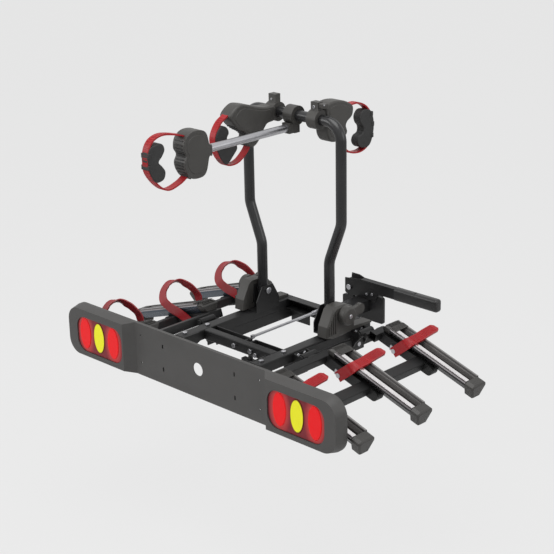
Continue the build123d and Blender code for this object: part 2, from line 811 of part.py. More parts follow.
def ring_seat(x):
    """The hollow that a clamp ring takes out of its holder."""
    return bar((x - holder_width, arch_y, arch_top), (x + holder_width, arch_y, arch_top), clamp_radius + seat_gap)


def outer_arm():
    return bar((arm_x, arm_front - arm_insert, arm_z), (arm_x, arch_y - arm_stop, arm_z), arm_radius)


def outer_clamp():
    clamp = bar_clamp(arm_x, False)
    half = socket_half
    clamp += block(arm_x - half, arm_x + half, arch_y - socket_reach, arch_y - socket_stop, arm_z - half, arm_z + half)
    reach = clamp_length / 2 + past
    clamp -= bar((arm_x - reach, arch_y, arch_top), (arm_x + reach, arch_y, arch_top), arch_radius + seat_gap)
    clamp -= bar((arm_x, arch_y - socket_reach - past, arm_z), (arm_x, arch_y - arm_stop + seat_gap, arm_z),
                 arm_radius + seat_gap)
    return clamp


def outer_holder():
    body = along_x(on_arch(outer_holder_line), arm_x - holder_width / 2, arm_x + holder_width / 2)
    body = chamfer(body.faces().sort_by(Axis.X)[-1].edges() + body.faces().sort_by(Axis.X)[0].edges(), holder_edge)
    bore_front = arm_front - arm_insert - seat_gap
    return body - bar((arm_x, bore_front, arm_z), (arm_x, arch_y - clamp_radius, arm_z), arm_radius + seat_gap)


def on_arch(points):
    """Corners counted from the arch's top bar, as stations."""
    return [(y + arch_y, z + arch_top) for y, z in points]


def loop_band(points, x, width, thick):
    return band([(x, y, z) for y, z in points], (1, 0, 0), width, thick)


def pad_on_loop(points, loop_points, x):
    """Rubber pad seated against the inside of its strap."""
    pad = along_x(on_arch(points), x - pad_width / 2, x + pad_width / 2)
    return pad - loop_band(on_arch(loop_points), x, pad_width + 2 * past, loop_thick + 2 * seat_gap)


def outer_loop(body):
    return loop_band(on_arch(outer_loop_line), arm_x, loop_width, loop_thick) - body


def outer_pad():
    return pad_on_loop(outer_pad_line, outer_loop_line, arm_x)


def middle_holder():
    body = along_x(on_arch(middle_holder_line), middle_x - holder_width / 2, middle_x + holder_width / 2)
    return chamfer(body.faces().sort_by(Axis.X)[-1].edges() + body.faces().sort_by(Axis.X)[0].edges(), holder_edge)


def middle_loop(body):
    return loop_band(on_arch(middle_loop_line), middle_x, loop_width, loop_thick) - body


def middle_pad():
    return pad_on_loop(middle_pad_line, middle_loop_line, middle_x)


def inner_holder():
    body = along_x(on_arch(inner_holder_line), inner_x - holder_width / 2, inner_x + holder_width / 2)
    body = chamfer(body.faces().sort_by(Axis.X)[-1].edges() + body.faces().sort_by(Axis.X)[0].edges(), holder_edge)
    return body


def inner_loop(body):
    return loop_band(on_arch(inner_loop_line), inner_x, loop_width, loop_thick) - body


def inner_pad():
    return pad_on_loop(inner_pad_line, inner_loop_line, inner_x)


def coupling_neck():
    half = neck_width / 2
    low = tilt_z - neck_height / 2
    high = tilt_z + neck_height / 2
    beam = block(-half, half, tilt_y, neck_seat, low, high)
    beam -= block(-half + neck_wall, half - neck_wall, tilt_y + ear_radius, neck_seat + past,
                  low + neck_wall, high - neck_wall)
    beam += bar((-half, tilt_y, tilt_z), (half, tilt_y, tilt_z), neck_nose_radius)
    beam -= bar((-half - past, tilt_y, tilt_z), (half + past, tilt_y, tilt_z), tilt_pin_radius + fit_gap)
    return beam


def coupling_head():
    half = neck_width / 2
    plate_back = head_front + head_plate
    head = along_y([(head_left, plate_low), (head_right, plate_low), (head_right, head_top),
                    (ledge_end + ledge_rise, head_top), (ledge_end, ledge_top), (head_left, ledge_top)],
                   head_front, plate_back)
    corners = head.edges().filter_by(Axis.Y).sort_by(Axis.X)
    head = fillet(corners[0:2] + corners[-2:], head_round)
    cup = block(-cup_half, cup_half, head_front + past, ball_y, head_low, cup_top)
    cup += bar((0, ball_y, head_low), (0, ball_y, cup_top), cup_half)
    cup = chamfer(cup.faces().sort_by(Axis.Z)[-1].edges(), cup_edge)
    head += cup
    head -= Pos(0, ball_y, ball_z) * Sphere(socket_radius)
    head -= bar((0, ball_y, head_low - past), (0, ball_y, ball_z), socket_radius)
    neck_low = tilt_z - neck_height / 2
    neck_high = tilt_z + neck_height / 2
    head -= block(-half, half, head_front - past, neck_seat, neck_low, neck_high)
    pocket_half = jaw_half + running_gap
    head -= block(-pocket_half, pocket_half, pocket_front, pocket_back, plate_low - past, pocket_top)
    pin_half = jaw_half + jaw_pin_reach + past
    head -= bar((-pin_half, jaw_pin_y, jaw_pin_z), (pin_half, jaw_pin_y, jaw_pin_z), jaw_pin_radius + fit_gap)
    y0 = head_front + running_gap
    y1 = head_front + lever_width - lever_gap - lever_plate - lug_gap
    lug = block(lever_pivot_x - lug_radius, lever_pivot_x + lug_radius, y0, y1, ledge_top - past, lever_pivot_z)
    lug += bar((lever_pivot_x, y0, lever_pivot_z), (lever_pivot_x, y1, lever_pivot_z), lug_radius)
    head += lug
    head -= bar((lever_pivot_x, y0 - past, lever_pivot_z), (lever_pivot_x, y1 + past, lever_pivot_z),
                lever_pin_radius + fit_gap)
    return head


def ball_jaw():
    points = [(jaw_front, jaw_top), (jaw_back - 1, jaw_top), (jaw_back, jaw_pin_z), (jaw_back, jaw_low + 4),
              (jaw_front + 2, jaw_low), (jaw_front, jaw_low + 8)]
    jaw = along_x(points, -jaw_half, jaw_half)
    jaw += bar((-jaw_half, jaw_pin_y, jaw_pin_z), (jaw_half, jaw_pin_y, jaw_pin_z), jaw_boss)
    reach = jaw_half + past
    return jaw - bar((-reach, jaw_pin_y, jaw_pin_z), (reach, jaw_pin_y, jaw_pin_z), jaw_pin_radius + fit_gap)


def coupling_pins():
    y0 = head_front - lever_gap - hinge_head_height
    y1 = head_front - lever_gap + lever_width + bolt_proud
    lever_pin = bar((lever_pivot_x, y0, lever_pivot_z), (lever_pivot_x, y1, lever_pivot_z), lever_pin_radius)
    lever_pin += bar((lever_pivot_x, y0, lever_pivot_z), (lever_pivot_x, head_front - lever_gap, lever_pivot_z),
                     hinge_head_radius)
    reach = jaw_half + jaw_pin_reach
    return lever_pin + bar((-reach, jaw_pin_y, jaw_pin_z), (reach, jaw_pin_y, jaw_pin_z), jaw_pin_radius)


def coupling_lever():
    y0 = head_front - lever_gap
    y1 = y0 + lever_width
    cheek = [(lever_root_back, root_low + 5), (lever_root_back + 5, root_low), (lever_root_front, root_low),
             (lever_root_front + root_slope, lever_low), (lever_end, lever_low), (lever_end, lever_high),
             (web_start, lever_high), (lever_root_back, root_high)]
    far_low = head_top + past
    far = [(lever_pivot_x - 6, far_low + 4), (lever_pivot_x, far_low), (web_start, far_low),
           (web_start + 12, lever_low), (lever_end, lever_low), (lever_end, lever_high), (web_start, lever_high),
           (web_start - 20, far_high), (lever_pivot_x - 5, far_high), (root_cover_start, lever_low + 5)]
    lever = along_y(cheek, y0, y0 + lever_plate)
    lever += along_y(far, y1 - lever_plate, y1)
    lever += block(web_start, lever_end, y0, y1, lever_high - lever_plate, lever_high)
    cover_high = root_high - lever_plate / 2
    lever += block(root_cover_start, web_start, y0, y1, cover_high - lever_plate, cover_high)
    for x, z in lever_rivets:
        lever += bar((x, y0 - rivet_proud, z), (x, y0, z), rivet_radius)
    lever -= bar((lever_pivot_x, y0 - past, lever_pivot_z), (lever_pivot_x, y1 + past, lever_pivot_z),
                 lever_pin_radius + fit_gap)
    return lever


def lever_grip():
    y0 = head_front - lever_gap
    y1 = y0 + lever_width
    grip = block(grip_start, grip_end, y0 - grip_wall, y1 + grip_wall, lever_low - grip_wall, lever_high + grip_wall)
    grip = fillet(grip.edges().filter_by(Axis.X), grip_round)
    grip = fillet(grip.faces().sort_by(Axis.X)[-1].edges(), grip_round - 1)
    high = lever_high + grip_wall
    grip -= block(grip_notch, grip_notch + grip_notch_width, y0 - grip_wall - past, y1 + grip_wall + past,
                  high - grip_notch_depth, high + past)
    core = block(grip_start - past, lever_end + seat_gap, y0 - seat_gap, y1 + seat_gap,
                 lever_low - seat_gap, lever_high + seat_gap)
    return grip - core


def tilt_pin():
    reach = neck_width / 2 + running_gap + ear_plate
    pin = bar((-reach, tilt_y, tilt_z), (reach, tilt_y, tilt_z), tilt_pin_radius)
    for side in (-1, 1):
        pin += bar((side * reach, tilt_y, tilt_z), (side * (reach + pin_head_height), tilt_y, tilt_z), pin_head_radius)
    return pin


def release_rod():
    rod = bar((rod_x, rod_front, rod_z), (rod_x, rod_back, rod_z), rod_radius)
    eye_front = crank_y + crank_half + running_gap
    half = rod_tip_height / 2
    return rod + block(rod_x - rod_radius, rod_x + rod_radius, eye_front, rod_front, rod_z - half, rod_z + half)


def release_crank():
    half = crank_half
    pedal_low = crank_z - crank_drop
    pedal_front = crank_y - crank_lug_gap
    pedal_back = crank_y + crank_lug_gap
    crank = bar((rod_x - half, crank_y, crank_z), (rod_x + half, crank_y, crank_z), crank_eye_radius)
    crank += block(rod_x - half, rod_x + half, crank_y - half, crank_y + half, pedal_low + past, rod_z - rod_radius / 2)
    crank += block(rod_x - pedal_half, rod_x + pedal_half, pedal_front, pedal_back, pedal_low, pedal_low + pedal_thick)
    reach = half + past
    return crank - bar((rod_x - reach, crank_y, crank_z), (rod_x + reach, crank_y, crank_z), crank_pin_radius + fit_gap)


def crank_pin():
    reach = crank_lug_reach
    return bar((rod_x - reach, crank_y, crank_z), (rod_x + reach, crank_y, crank_z), crank_pin_radius)


def release_spring():
    start = side_back - back_beam_depth - spring_length - spring_back_gap
    helix = Helix(pitch=spring_length / spring_turns, height=spring_length, radius=spring_radius,
                  center=(rod_x, start, rod_z), direction=(0, 1, 0))
    wire = Plane(origin=helix @ 0, z_dir=helix % 0) * Circle(spring_wire)
    return sweep(wire, path=helix)


def hex_head(x, y, z, way):
    """Bolt head that stands on a face, the way it points given as a direction."""
    return extrude(Plane(origin=(x, y, z), z_dir=way) * RegularPolygon(hex_radius, 6), amount=hex_height)


def frame_bolts():
    heads = [hex_head(x, front_beam_y, z, (0, -1, 0)) for x, z in beam_bolts]
    for side in (-1, 1):
        for start in (hinge_front, hinge_back):
            for along, z in hinge_bolts:
                heads.append(hex_head(side * (side_outer + hinge_plate), start + along, z, (side, 0, 0)))
        for along in member_bolts:
            heads.append(hex_head(side * side_middle, side_front + along, frame_top, (0, 0, 1)))
    return Compound(children=heads)


def add(name, shape):
    pieces[name] = shape


add("side_member_right", side_member())
add("side_member_left", mirrored(side_member()))
add("front_crossmember", front_crossmember())
add("rear_crossmember", rear_crossmember())
add("light_board", light_board())
add("lamp_lens_right", lamp_lens())
add("lamp_lens_left", mirrored(lamp_lens()))
add("turn_lamp_right", turn_lamp())
add("turn_lamp_left", mirrored(turn_lamp()))
add("board_brackets", both_sides(board_bracket()))
add("arch_tube", arch_tube())
add("foot_brackets", both_sides(foot_bracket()))
add("foot_cover_right", foot_cover())
add("foot_cover_left", mirrored(foot_cover()))
add("foot_knob_right", foot_knob())
add("foot_knob_left", mirrored(foot_knob()))
add("hinge_bracket_right", hinge_bracket())
add("hinge_bracket_left", mirrored(hinge_bracket()))
add("pivot_bolts", Compound(children=[both_sides(hinge_pins()), both_sides(arch_bolt())]))
add("wing_frame_right", wing_frame())
add("wing_frame_left", mirrored(wing_frame()))
for place, label in enumerate(("front", "middle", "rear")):
    add(f"wheel_rail_{label}_right", wheel_rail(place))
    add(f"wheel_rail_{label}_left", mirrored(wheel_rail(place)))
    add(f"wheel_strap_{label}_right", right_strap(place))
    add(f"wheel_strap_{label}_left", mirrored(left_strap(place)))
add("rail_caps_right", rail_caps())
add("rail_caps_left", mirrored(rail_caps()))
add("strap_anchors_right", strap_anchors())
add("strap_anchors_left", mirrored(strap_anchors()))
add("outer_clamp", outer_clamp())
add("outer_arm", outer_arm())
add("outer_holder", outer_holder())
add("outer_loop", outer_loop(outer_holder()))
add("outer_pad", outer_pad())
add("middle_clamp", bar_clamp(middle_x, True))
add("middle_holder", middle_holder() - ring_seat(middle_x))
add("middle_loop", middle_loop(middle_holder()))
add("middle_pad", middle_pad())
add("inner_clamp", bar_clamp(inner_x, True))
add("inner_holder", inner_holder() - ring_seat(inner_x))
add("inner_loop", inner_loop(inner_holder()))
add("inner_pad", inner_pad())
add("coupling_neck", coupling_neck())
add("coupling_head", coupling_head())
add("coupling_pins", Compound(children=[coupling_pins(), tilt_pin()]))
add("ball_jaw", ball_jaw())
add("coupling_lever", coupling_lever())
add("lever_grip", lever_grip())
add("release_rod", release_rod())
add("release_crank", release_crank())
add("release_spring", release_spring())
add("frame_bolts", Compound(children=[frame_bolts(), crank_pin()]))

for name, shape in pieces.items():
    export_step(Pos(0, -ball_y, -ball_z) * shape, f"parts/{name}.step")
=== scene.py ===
import bpy
import bmesh
import math
from mathutils import Matrix, Vector


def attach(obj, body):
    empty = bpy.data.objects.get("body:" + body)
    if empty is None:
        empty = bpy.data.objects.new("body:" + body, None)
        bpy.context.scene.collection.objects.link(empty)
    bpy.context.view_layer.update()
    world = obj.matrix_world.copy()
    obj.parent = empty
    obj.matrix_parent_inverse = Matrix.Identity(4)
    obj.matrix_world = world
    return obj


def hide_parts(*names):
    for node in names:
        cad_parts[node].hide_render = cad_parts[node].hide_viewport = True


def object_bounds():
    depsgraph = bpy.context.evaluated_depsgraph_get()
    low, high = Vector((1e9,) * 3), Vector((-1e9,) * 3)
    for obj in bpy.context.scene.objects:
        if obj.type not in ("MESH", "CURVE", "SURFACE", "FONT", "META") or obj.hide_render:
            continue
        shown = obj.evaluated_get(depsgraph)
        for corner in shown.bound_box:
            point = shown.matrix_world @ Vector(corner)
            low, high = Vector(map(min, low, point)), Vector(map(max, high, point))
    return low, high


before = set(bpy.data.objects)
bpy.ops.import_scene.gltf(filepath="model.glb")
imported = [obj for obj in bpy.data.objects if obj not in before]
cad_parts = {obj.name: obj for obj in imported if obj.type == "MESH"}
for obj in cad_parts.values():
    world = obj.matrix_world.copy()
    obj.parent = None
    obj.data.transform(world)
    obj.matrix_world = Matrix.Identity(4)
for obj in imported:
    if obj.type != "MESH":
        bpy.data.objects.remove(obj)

cad_low, cad_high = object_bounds()


# The stage is a plain pale floor well under the rack, as the road is under a tow ball, so that the
# tilted platform stays clear of it. Round it is a soft room of light, and the camera looks from
# behind and to the right, a little above the tops of the grips.
mm = 0.001
backdrop = 0.83
own_glow = 0.9
floor_size = 60.0
road_drop = 0.47
floor_low = cad_low[2] - road_drop


def pale_floor():
    """A wide floor that keeps the rack's shadow and shows mostly its own plain tone."""
    bpy.ops.mesh.primitive_plane_add(size=floor_size, location=(0, 0, floor_low))
    floor = bpy.context.object
    floor.name = "floor"
    paint = bpy.data.materials.new("pale floor")
    paint.use_nodes = True
    nodes = paint.node_tree.nodes
    links = paint.node_tree.links
    shader = nodes["Principled BSDF"]
    shader.inputs["Base Color"].default_value = (backdrop, backdrop, backdrop, 1)
    shader.inputs["Roughness"].default_value = 0.9
    shader.inputs["Specular IOR Level"].default_value = 0.1
    glow = nodes.new("ShaderNodeEmission")
    glow.inputs["Color"].default_value = (backdrop, backdrop, backdrop, 1)
    path = nodes.new("ShaderNodeLightPath")
    share = nodes.new("ShaderNodeMath")
    share.operation = "MULTIPLY"
    share.inputs[1].default_value = own_glow
    links.new(path.outputs["Is Camera Ray"], share.inputs[0])
    blend = nodes.new("ShaderNodeMixShader")
    links.new(share.outputs[0], blend.inputs[0])
    links.new(shader.outputs[0], blend.inputs[1])
    links.new(glow.outputs[0], blend.inputs[2])
    links.new(blend.outputs[0], nodes["Material Output"].inputs["Surface"])
    floor.data.materials.append(paint)


def room_light():
    """Even light from all sides, with the plain tone where the camera and polished metal see it."""
    world = bpy.data.worlds.new("soft room")
    bpy.context.scene.world = world
    world.use_nodes = True
    nodes = world.node_tree.nodes
    links = world.node_tree.links
    room = nodes["Background"]
    room.inputs["Color"].default_value = (1.0, 1.0, 1.0, 1)
    room.inputs["Strength"].default_value = 0.45
    seen = nodes.new("ShaderNodeBackground")
    seen.inputs["Color"].default_value = (backdrop, backdrop, backdrop, 1)
    seen.inputs["Strength"].default_value = 1.0
    path = nodes.new("ShaderNodeLightPath")
    camera_or_gloss = nodes.new("ShaderNodeMath")
    camera_or_gloss.operation = "MAXIMUM"
    through = nodes.new("ShaderNodeMath")
    through.operation = "MAXIMUM"
    links.new(path.outputs["Is Camera Ray"], camera_or_gloss.inputs[0])
    links.new(path.outputs["Is Glossy Ray"], camera_or_gloss.inputs[1])
    links.new(camera_or_gloss.outputs[0], through.inputs[0])
    links.new(path.outputs["Is Transmission Ray"], through.inputs[1])
    blend = nodes.new("ShaderNodeMixShader")
    links.new(through.outputs[0], blend.inputs[0])
    links.new(room.outputs[0], blend.inputs[1])
    links.new(seen.outputs[0], blend.inputs[2])
    links.new(blend.outputs[0], nodes["World Output"].inputs["Surface"])


def soft_lamp(name, place, aim, size, power):
    """A large square lamp turned towards one place."""
    lamp = bpy.data.lights.new(name, "AREA")
    lamp.shape = "SQUARE"
    lamp.size = size
    lamp.energy = power
    holder = bpy.data.objects.new(name, lamp)
    bpy.context.collection.objects.link(holder)
    holder.location = place
    holder.rotation_euler = (Vector(aim) - Vector(place)).to_track_quat("-Z", "Y").to_euler()


camera_place = (2.7178, -3.1517, 1.5714)
camera_view = (-0.664, 0.669, -0.334)
camera_roll = -1.1
camera_lens = 94.6
sensor_width = 36.0


def photo_camera():
    """The long lens, turned along its view with a slight roll."""
    view = Vector(camera_view).normalized()
    roll = math.radians(camera_roll)
    right = view.cross(Vector((0, 0, 1))).normalized()
    up = right.cross(view)
    level_right = right * math.cos(roll) + up * math.sin(roll)
    level_up = up * math.cos(roll) - right * math.sin(roll)
    lens = bpy.data.cameras.new("camera")
    lens.sensor_width = sensor_width
    lens.lens = camera_lens
    lens.clip_end = 100.0
    camera = bpy.data.objects.new("camera", lens)
    bpy.context.collection.objects.link(camera)
    turn = Matrix((level_right, level_up, -view)).transposed().to_4x4()
    camera.matrix_world = Matrix.Translation(camera_place) @ turn
    bpy.context.scene.camera = camera


pale_floor()
room_light()
middle = (0.0, -0.4, 0.3)
soft_lamp("overhead", (0.4, -1.0, 3.2), middle, 2.4, 62)
soft_lamp("left front", (-2.2, -3.2, 1.7), middle, 1.8, 34)
soft_lamp("right side", (3.0, 0.6, 1.5), middle, 1.6, 16)
photo_camera()
bpy.context.scene.view_settings.view_transform = "Standard"


# The finishes. Fine grain and slow tone changes are shared effects: moulded plastic, powder
# coat and rubber each take them with their own scale and strength.
grit_spread = 0.06
grain_depth = 0.0004
grain_contrast = (0.3, 0.7)


def grain_effect():
    """Gives a slow tone change, a roughness change and a fine height for a surface's grain."""
    group = bpy.data.node_groups.new("grain", "ShaderNodeTree")
    for label, start in (("Fine Scale", 900.0), ("Slow Scale", 14.0)):
        socket = group.interface.new_socket(label, in_out="INPUT", socket_type="NodeSocketFloat")
        socket.default_value = start
    for label in ("Tone", "Grit", "Height"):
        group.interface.new_socket(label, in_out="OUTPUT", socket_type="NodeSocketFloat")
    nodes = group.nodes
    links = group.links
    given = nodes.new("NodeGroupInput")
    result = nodes.new("NodeGroupOutput")
    place = nodes.new("ShaderNodeTexCoord")
    slow = nodes.new("ShaderNodeTexNoise")
    slow.inputs["Detail"].default_value = 4.0
    fine = nodes.new("ShaderNodeTexNoise")
    fine.inputs["Detail"].default_value = 2.0
    for noise, label in ((slow, "Slow Scale"), (fine, "Fine Scale")):
        links.new(place.outputs["Object"], noise.inputs["Vector"])
        links.new(given.outputs[label], noise.inputs["Scale"])
    spread = nodes.new("ShaderNodeMapRange")
    spread.inputs["From Min"].default_value = grain_contrast[0]
    spread.inputs["From Max"].default_value = grain_contrast[1]
    links.new(slow.outputs["Fac"], spread.inputs["Value"])
    links.new(spread.outputs["Result"], result.inputs["Tone"])
    links.new(slow.outputs["Fac"], result.inputs["Grit"])
    links.new(fine.outputs["Fac"], result.inputs["Height"])
    return group


grain = grain_effect()


def finish(name, dark, light, rough, fine_scale=900.0, slow_scale=14.0, bump=0.15, **constants):
    """A material whose colour drifts between two close tones, with grain in its roughness and height."""
    material = bpy.data.materials.new(name)
    material.use_nodes = True
    nodes = material.node_tree.nodes
    links = material.node_tree.links
    shader = nodes["Principled BSDF"]
    for socket, value in constants.items():
        shader.inputs[socket.replace("_", " ")].default_value = value
    effect = nodes.new("ShaderNodeGroup")
    effect.node_tree = grain
    effect.inputs["Fine Scale"].default_value = fine_scale
    effect.inputs["Slow Scale"].default_value = slow_scale
    tones = nodes.new("ShaderNodeMix")
    tones.data_type = "RGBA"
    tones.inputs["A"].default_value = (*dark, 1)
    tones.inputs["B"].default_value = (*light, 1)
    links.new(effect.outputs["Tone"], tones.inputs["Factor"])
    links.new(tones.outputs["Result"], shader.inputs["Base Color"])
    grit = nodes.new("ShaderNodeMapRange")
    grit.inputs["To Min"].default_value = rough - grit_spread
    grit.inputs["To Max"].default_value = rough + grit_spread
    links.new(effect.outputs["Grit"], grit.inputs["Value"])
    links.new(grit.outputs["Result"], shader.inputs["Roughness"])
    raised = nodes.new("ShaderNodeBump")
    raised.inputs["Strength"].default_value = bump
    raised.inputs["Distance"].default_value = grain_depth
    links.new(effect.outputs["Height"], raised.inputs["Height"])
    links.new(raised.outputs["Normal"], shader.inputs["Normal"])
    return material


powder_coat = finish("black powder coat", (0.008, 0.008, 0.008), (0.014, 0.014, 0.0145), 0.45,
                     fine_scale=1500.0, Specular_IOR_Level=0.35)
board_plastic = finish("board plastic", (0.055, 0.053, 0.051), (0.064, 0.062, 0.06), 0.5)
cover_plastic = finish("cover plastic", (0.042, 0.04, 0.037), (0.054, 0.052, 0.048), 0.5)
cap_plastic = finish("cap plastic", (0.034, 0.032, 0.03), (0.046, 0.044, 0.041), 0.48)
grip_plastic = finish("grip plastic", (0.02, 0.02, 0.02), (0.03, 0.03, 0.03), 0.4)
pad_rubber = finish("pad rubber", (0.014, 0.014, 0.014), (0.024, 0.024, 0.024), 0.6, bump=0.3)
strap_plastic = finish("red strap", (0.33, 0.01, 0.014), (0.41, 0.015, 0.02), 0.4, bump=0.08,
                       Specular_IOR_Level=0.3)
arch_paint = finish("arch paint", (0.014, 0.014, 0.015), (0.02, 0.02, 0.021), 0.28, bump=0.05)
bright_steel = finish("bright steel", (0.42, 0.42, 0.44), (0.5, 0.5, 0.52), 0.3, bump=0.08, Metallic=1.0)


# Every rigid piece leaves its mould, saw or press with softened edges. This takes a solid of the
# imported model, merges it, and gives its sharp edges a small round.
weld = 0.00001
flat_angle = 1.0


def softened(node, body, material, round_mm=1.0, angle=32, segments=2, low=-1.0, high=1.0,
             label="soft"):
    """A dressed copy of one solid, or of its parts between two heights, that rides on a body."""
    source = bpy.data.objects[node]
    bm = bmesh.new()
    bm.from_mesh(source.data)
    outside = [vert for vert in bm.verts if not low < vert.co.z < high]
    bmesh.ops.delete(bm, geom=outside, context="VERTS")
    bmesh.ops.remove_doubles(bm, verts=bm.verts, dist=weld)
    bmesh.ops.dissolve_limit(bm, angle_limit=math.radians(flat_angle), verts=bm.verts, edges=bm.edges)
    mesh = bpy.data.meshes.new(node + "_" + label)
    bm.to_mesh(mesh)
    bm.free()
    piece = bpy.data.objects.new(node + "_" + label, mesh)
    bpy.context.collection.objects.link(piece)
    mesh.shade_smooth()
    mesh.set_sharp_from_angle(angle=math.radians(angle))
    if round_mm:
        edge = piece.modifiers.new("round", "BEVEL")
        edge.width = round_mm * mm
        edge.segments = segments
        edge.limit_method = "ANGLE"
        edge.angle_limit = math.radians(angle)
        edge.use_clamp_overlap = True
        edge.harden_normals = False
    mesh.materials.append(material)
    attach(piece, body)
    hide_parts(node)
    return piece


# The platform frame is welded from rectangular steel tube with sawn ends, powder coated black.
# Two long members carry two crossmembers and the brackets of everything else.
bolt_split = 0.08
for node in ("side_member_right", "side_member_left", "front_crossmember", "rear_crossmember"):
    softened(node, "platform", powder_coat, round_mm=0.8)
for node in ("board_brackets", "foot_brackets"):
    softened(node, "platform", powder_coat, round_mm=0.6)
softened("frame_bolts", "platform", bright_steel, round_mm=0.6)
softened("pivot_bolts", "platform", powder_coat, round_mm=0.6, high=bolt_split,
         label="hinge_pins")
softened("pivot_bolts", "platform", bright_steel, round_mm=1.5, low=bolt_split,
         label="arch_bolts")


# The light board is one large moulding with a turned rim and a raised pod at each end. Each pod
# holds a clear red lens with two oval lamps behind it, and a yellow turn lamp between them.
lamp_middle = 0.3935
lamp_step = 0.062
lamp_height = 0.013
lamp_half = (0.023, 0.046)
lamp_red = (0.87, 0.008, 0.012)
lamp_glow = (0.5, 0.05, 0.05)
lens_deep = (0.2, 0.022, 0.03)
turn_yellow = (0.83, 0.81, 0.02)
turn_edge = (0.12, 0.03, 0.01)


def sum_node(nodes, links, operation, first, second):
    """One step of arithmetic between sockets and plain numbers."""
    node = nodes.new("ShaderNodeMath")
    node.operation = operation
    for index, value in enumerate((first, second)):
        if isinstance(value, float):
            node.inputs[index].default_value = value
        elif value is not None:
            links.new(value, node.inputs[index])
    return node.outputs[0]


def lamp_material(name, tones, step, glow):
    """Rings of colour round the oval lamps, by the distance from each oval's middle."""
    material = finish(name, lens_deep, lens_deep, 0.2, bump=0.04, Specular_IOR_Level=0.18)
    nodes = material.node_tree.nodes
    links = material.node_tree.links
    shader = nodes["Principled BSDF"]
    place = nodes.new("ShaderNodeTexCoord")
    split = nodes.new("ShaderNodeSeparateXYZ")
    links.new(place.outputs["Object"], split.inputs[0])
    across = sum_node(nodes, links, "ABSOLUTE", split.outputs["X"], None)
    across = sum_node(nodes, links, "SUBTRACT", across, lamp_middle)
    across = sum_node(nodes, links, "ABSOLUTE", across, None)
    across = sum_node(nodes, links, "SUBTRACT", across, step)
    across = sum_node(nodes, links, "DIVIDE", across, lamp_half[0])
    upward = sum_node(nodes, links, "SUBTRACT", split.outputs["Z"], lamp_height)
    upward = sum_node(nodes, links, "DIVIDE", upward, lamp_half[1])
    across = sum_node(nodes, links, "MULTIPLY", across, across)
    upward = sum_node(nodes, links, "MULTIPLY", upward, upward)
    distance = sum_node(nodes, links, "SQRT", sum_node(nodes, links, "ADD", across, upward), None)
    share = sum_node(nodes, links, "DIVIDE", distance, 2.0)
    ramp = nodes.new("ShaderNodeValToRGB")
    links.new(share, ramp.inputs[0])
    for stop, (position, colour) in enumerate(tones):
        if stop > 1:
            ramp.color_ramp.elements.new(position)
        ramp.color_ramp.elements[stop].position = position
        ramp.color_ramp.elements[stop].color = (*colour, 1)
    links.new(ramp.outputs[0], shader.inputs["Base Color"])
    links.new(ramp.outputs[0], shader.inputs["Emission Color"])
    shader.inputs["Emission Strength"].default_value = glow
    return material


red_rings = ((0.0, lamp_red), (0.49, lamp_red), (0.54, lamp_glow), (0.85, lens_deep))
amber_rings = ((0.0, turn_yellow), (0.46, turn_yellow), (0.49, turn_edge))
lens_red = lamp_material("lens red", red_rings, lamp_step, 0.1)
lens_amber = lamp_material("lens amber", amber_rings, 0.0, 0.15)
softened("light_board", "platform", board_plastic, round_mm=3.0, segments=3)
for side in ("right", "left"):
    softened("lamp_lens_" + side, "platform", lens_red, round_mm=1.2)
    softened("turn_lamp_" + side, "platform", lens_amber, round_mm=1.2)


# The arch is one bent steel tube, painted black, that folds down between its feet. Each foot has
# a moulded cover over its steel bracket, and a lobed knob that clamps the arch at its pivot.
softened("arch_tube", "arch", arch_paint, round_mm=0.0)
for side in ("right", "left"):
    softened("foot_cover_" + side, "platform", cover_plastic, round_mm=1.5)
    softened("foot_knob_" + side, "knob_" + side, cover_plastic, round_mm=2.0)


# Each wing is a welded frame of tubes and three arms on two hinges, powder coated black. It
# carries three wheel rails of extruded and polished aluminium between moulded end caps. The
# strips go round the rail's section, and each has a tone from its corner to the next that is
# painted light and shade: painted highlights along the lips and the far wall, and painted shade
# on the sides and in the groove.
datum = Vector((0.0, -725.0, -64.0))
rack_place = Matrix.Scale(mm, 4) @ Matrix.Translation(datum)
wing_pivot = Vector((202.0, 0.0, 112.0))
wing_droop = math.radians(17.8)
wing_place = rack_place @ Matrix.Translation(wing_pivot) @ Matrix.Rotation(wing_droop, 4, "Y")
flip = Matrix.Scale(-1.0, 4, Vector((1, 0, 0)))
left_place = rack_place @ flip @ rack_place.inverted() @ wing_place
rail_step = 230.0
rail_front = 20.0
rail_width = 60.0
rail_seat = 15.2
rail_top = 45.2
rail_start = 62.0
rail_end = 340.4
# These tones are painted light and shade: bright, line and far are painted highlights, wall is the painted
# lit inner wall of the groove, and side, groove and shade are painted shade.
rail_light_and_shade = {
    "side": (0.018, 0.017, 0.018),
    "line": (0.32, 0.3, 0.31),
    "bright": (0.94, 0.92, 0.92),
    "groove": (0.09, 0.082, 0.08),
    "wall": (0.24, 0.23, 0.225),
    "shade": (0.06, 0.056, 0.055),
    "far": (0.27, 0.26, 0.255),
}
rail_strips = [
    (-18, 0, "side"), (-30, 18, "side"), (-30, 23.2, "line"), (-28.6, 26.4, "groove"),
    (-27.4, 26.2, "groove"), (-26, 28.8, "line"), (-23.6, 30, "bright"), (-13.4, 30, "wall"),
    (-12.2, 28, "groove"), (-11, 8, "groove"), (11, 8, "groove"), (12.8, 14, "wall"),
    (14.8, 21, "wall"), (16.4, 27, "shade"), (18.4, 30, "shade"), (22, 30, "far"),
    (28, 29.4, "shade"), (30, 24, "side"), (30, 18, "side"), (18, 0, "side"),
]
cap_ribs = 10
rib_step = 4.0
rib_first = 41.0
rib_width = 1.8
rib_rise = 1.4
plate_end = 82.0
inner_cap_length = 26.0
cap_slant = 12.0
plate_thick = 1.6


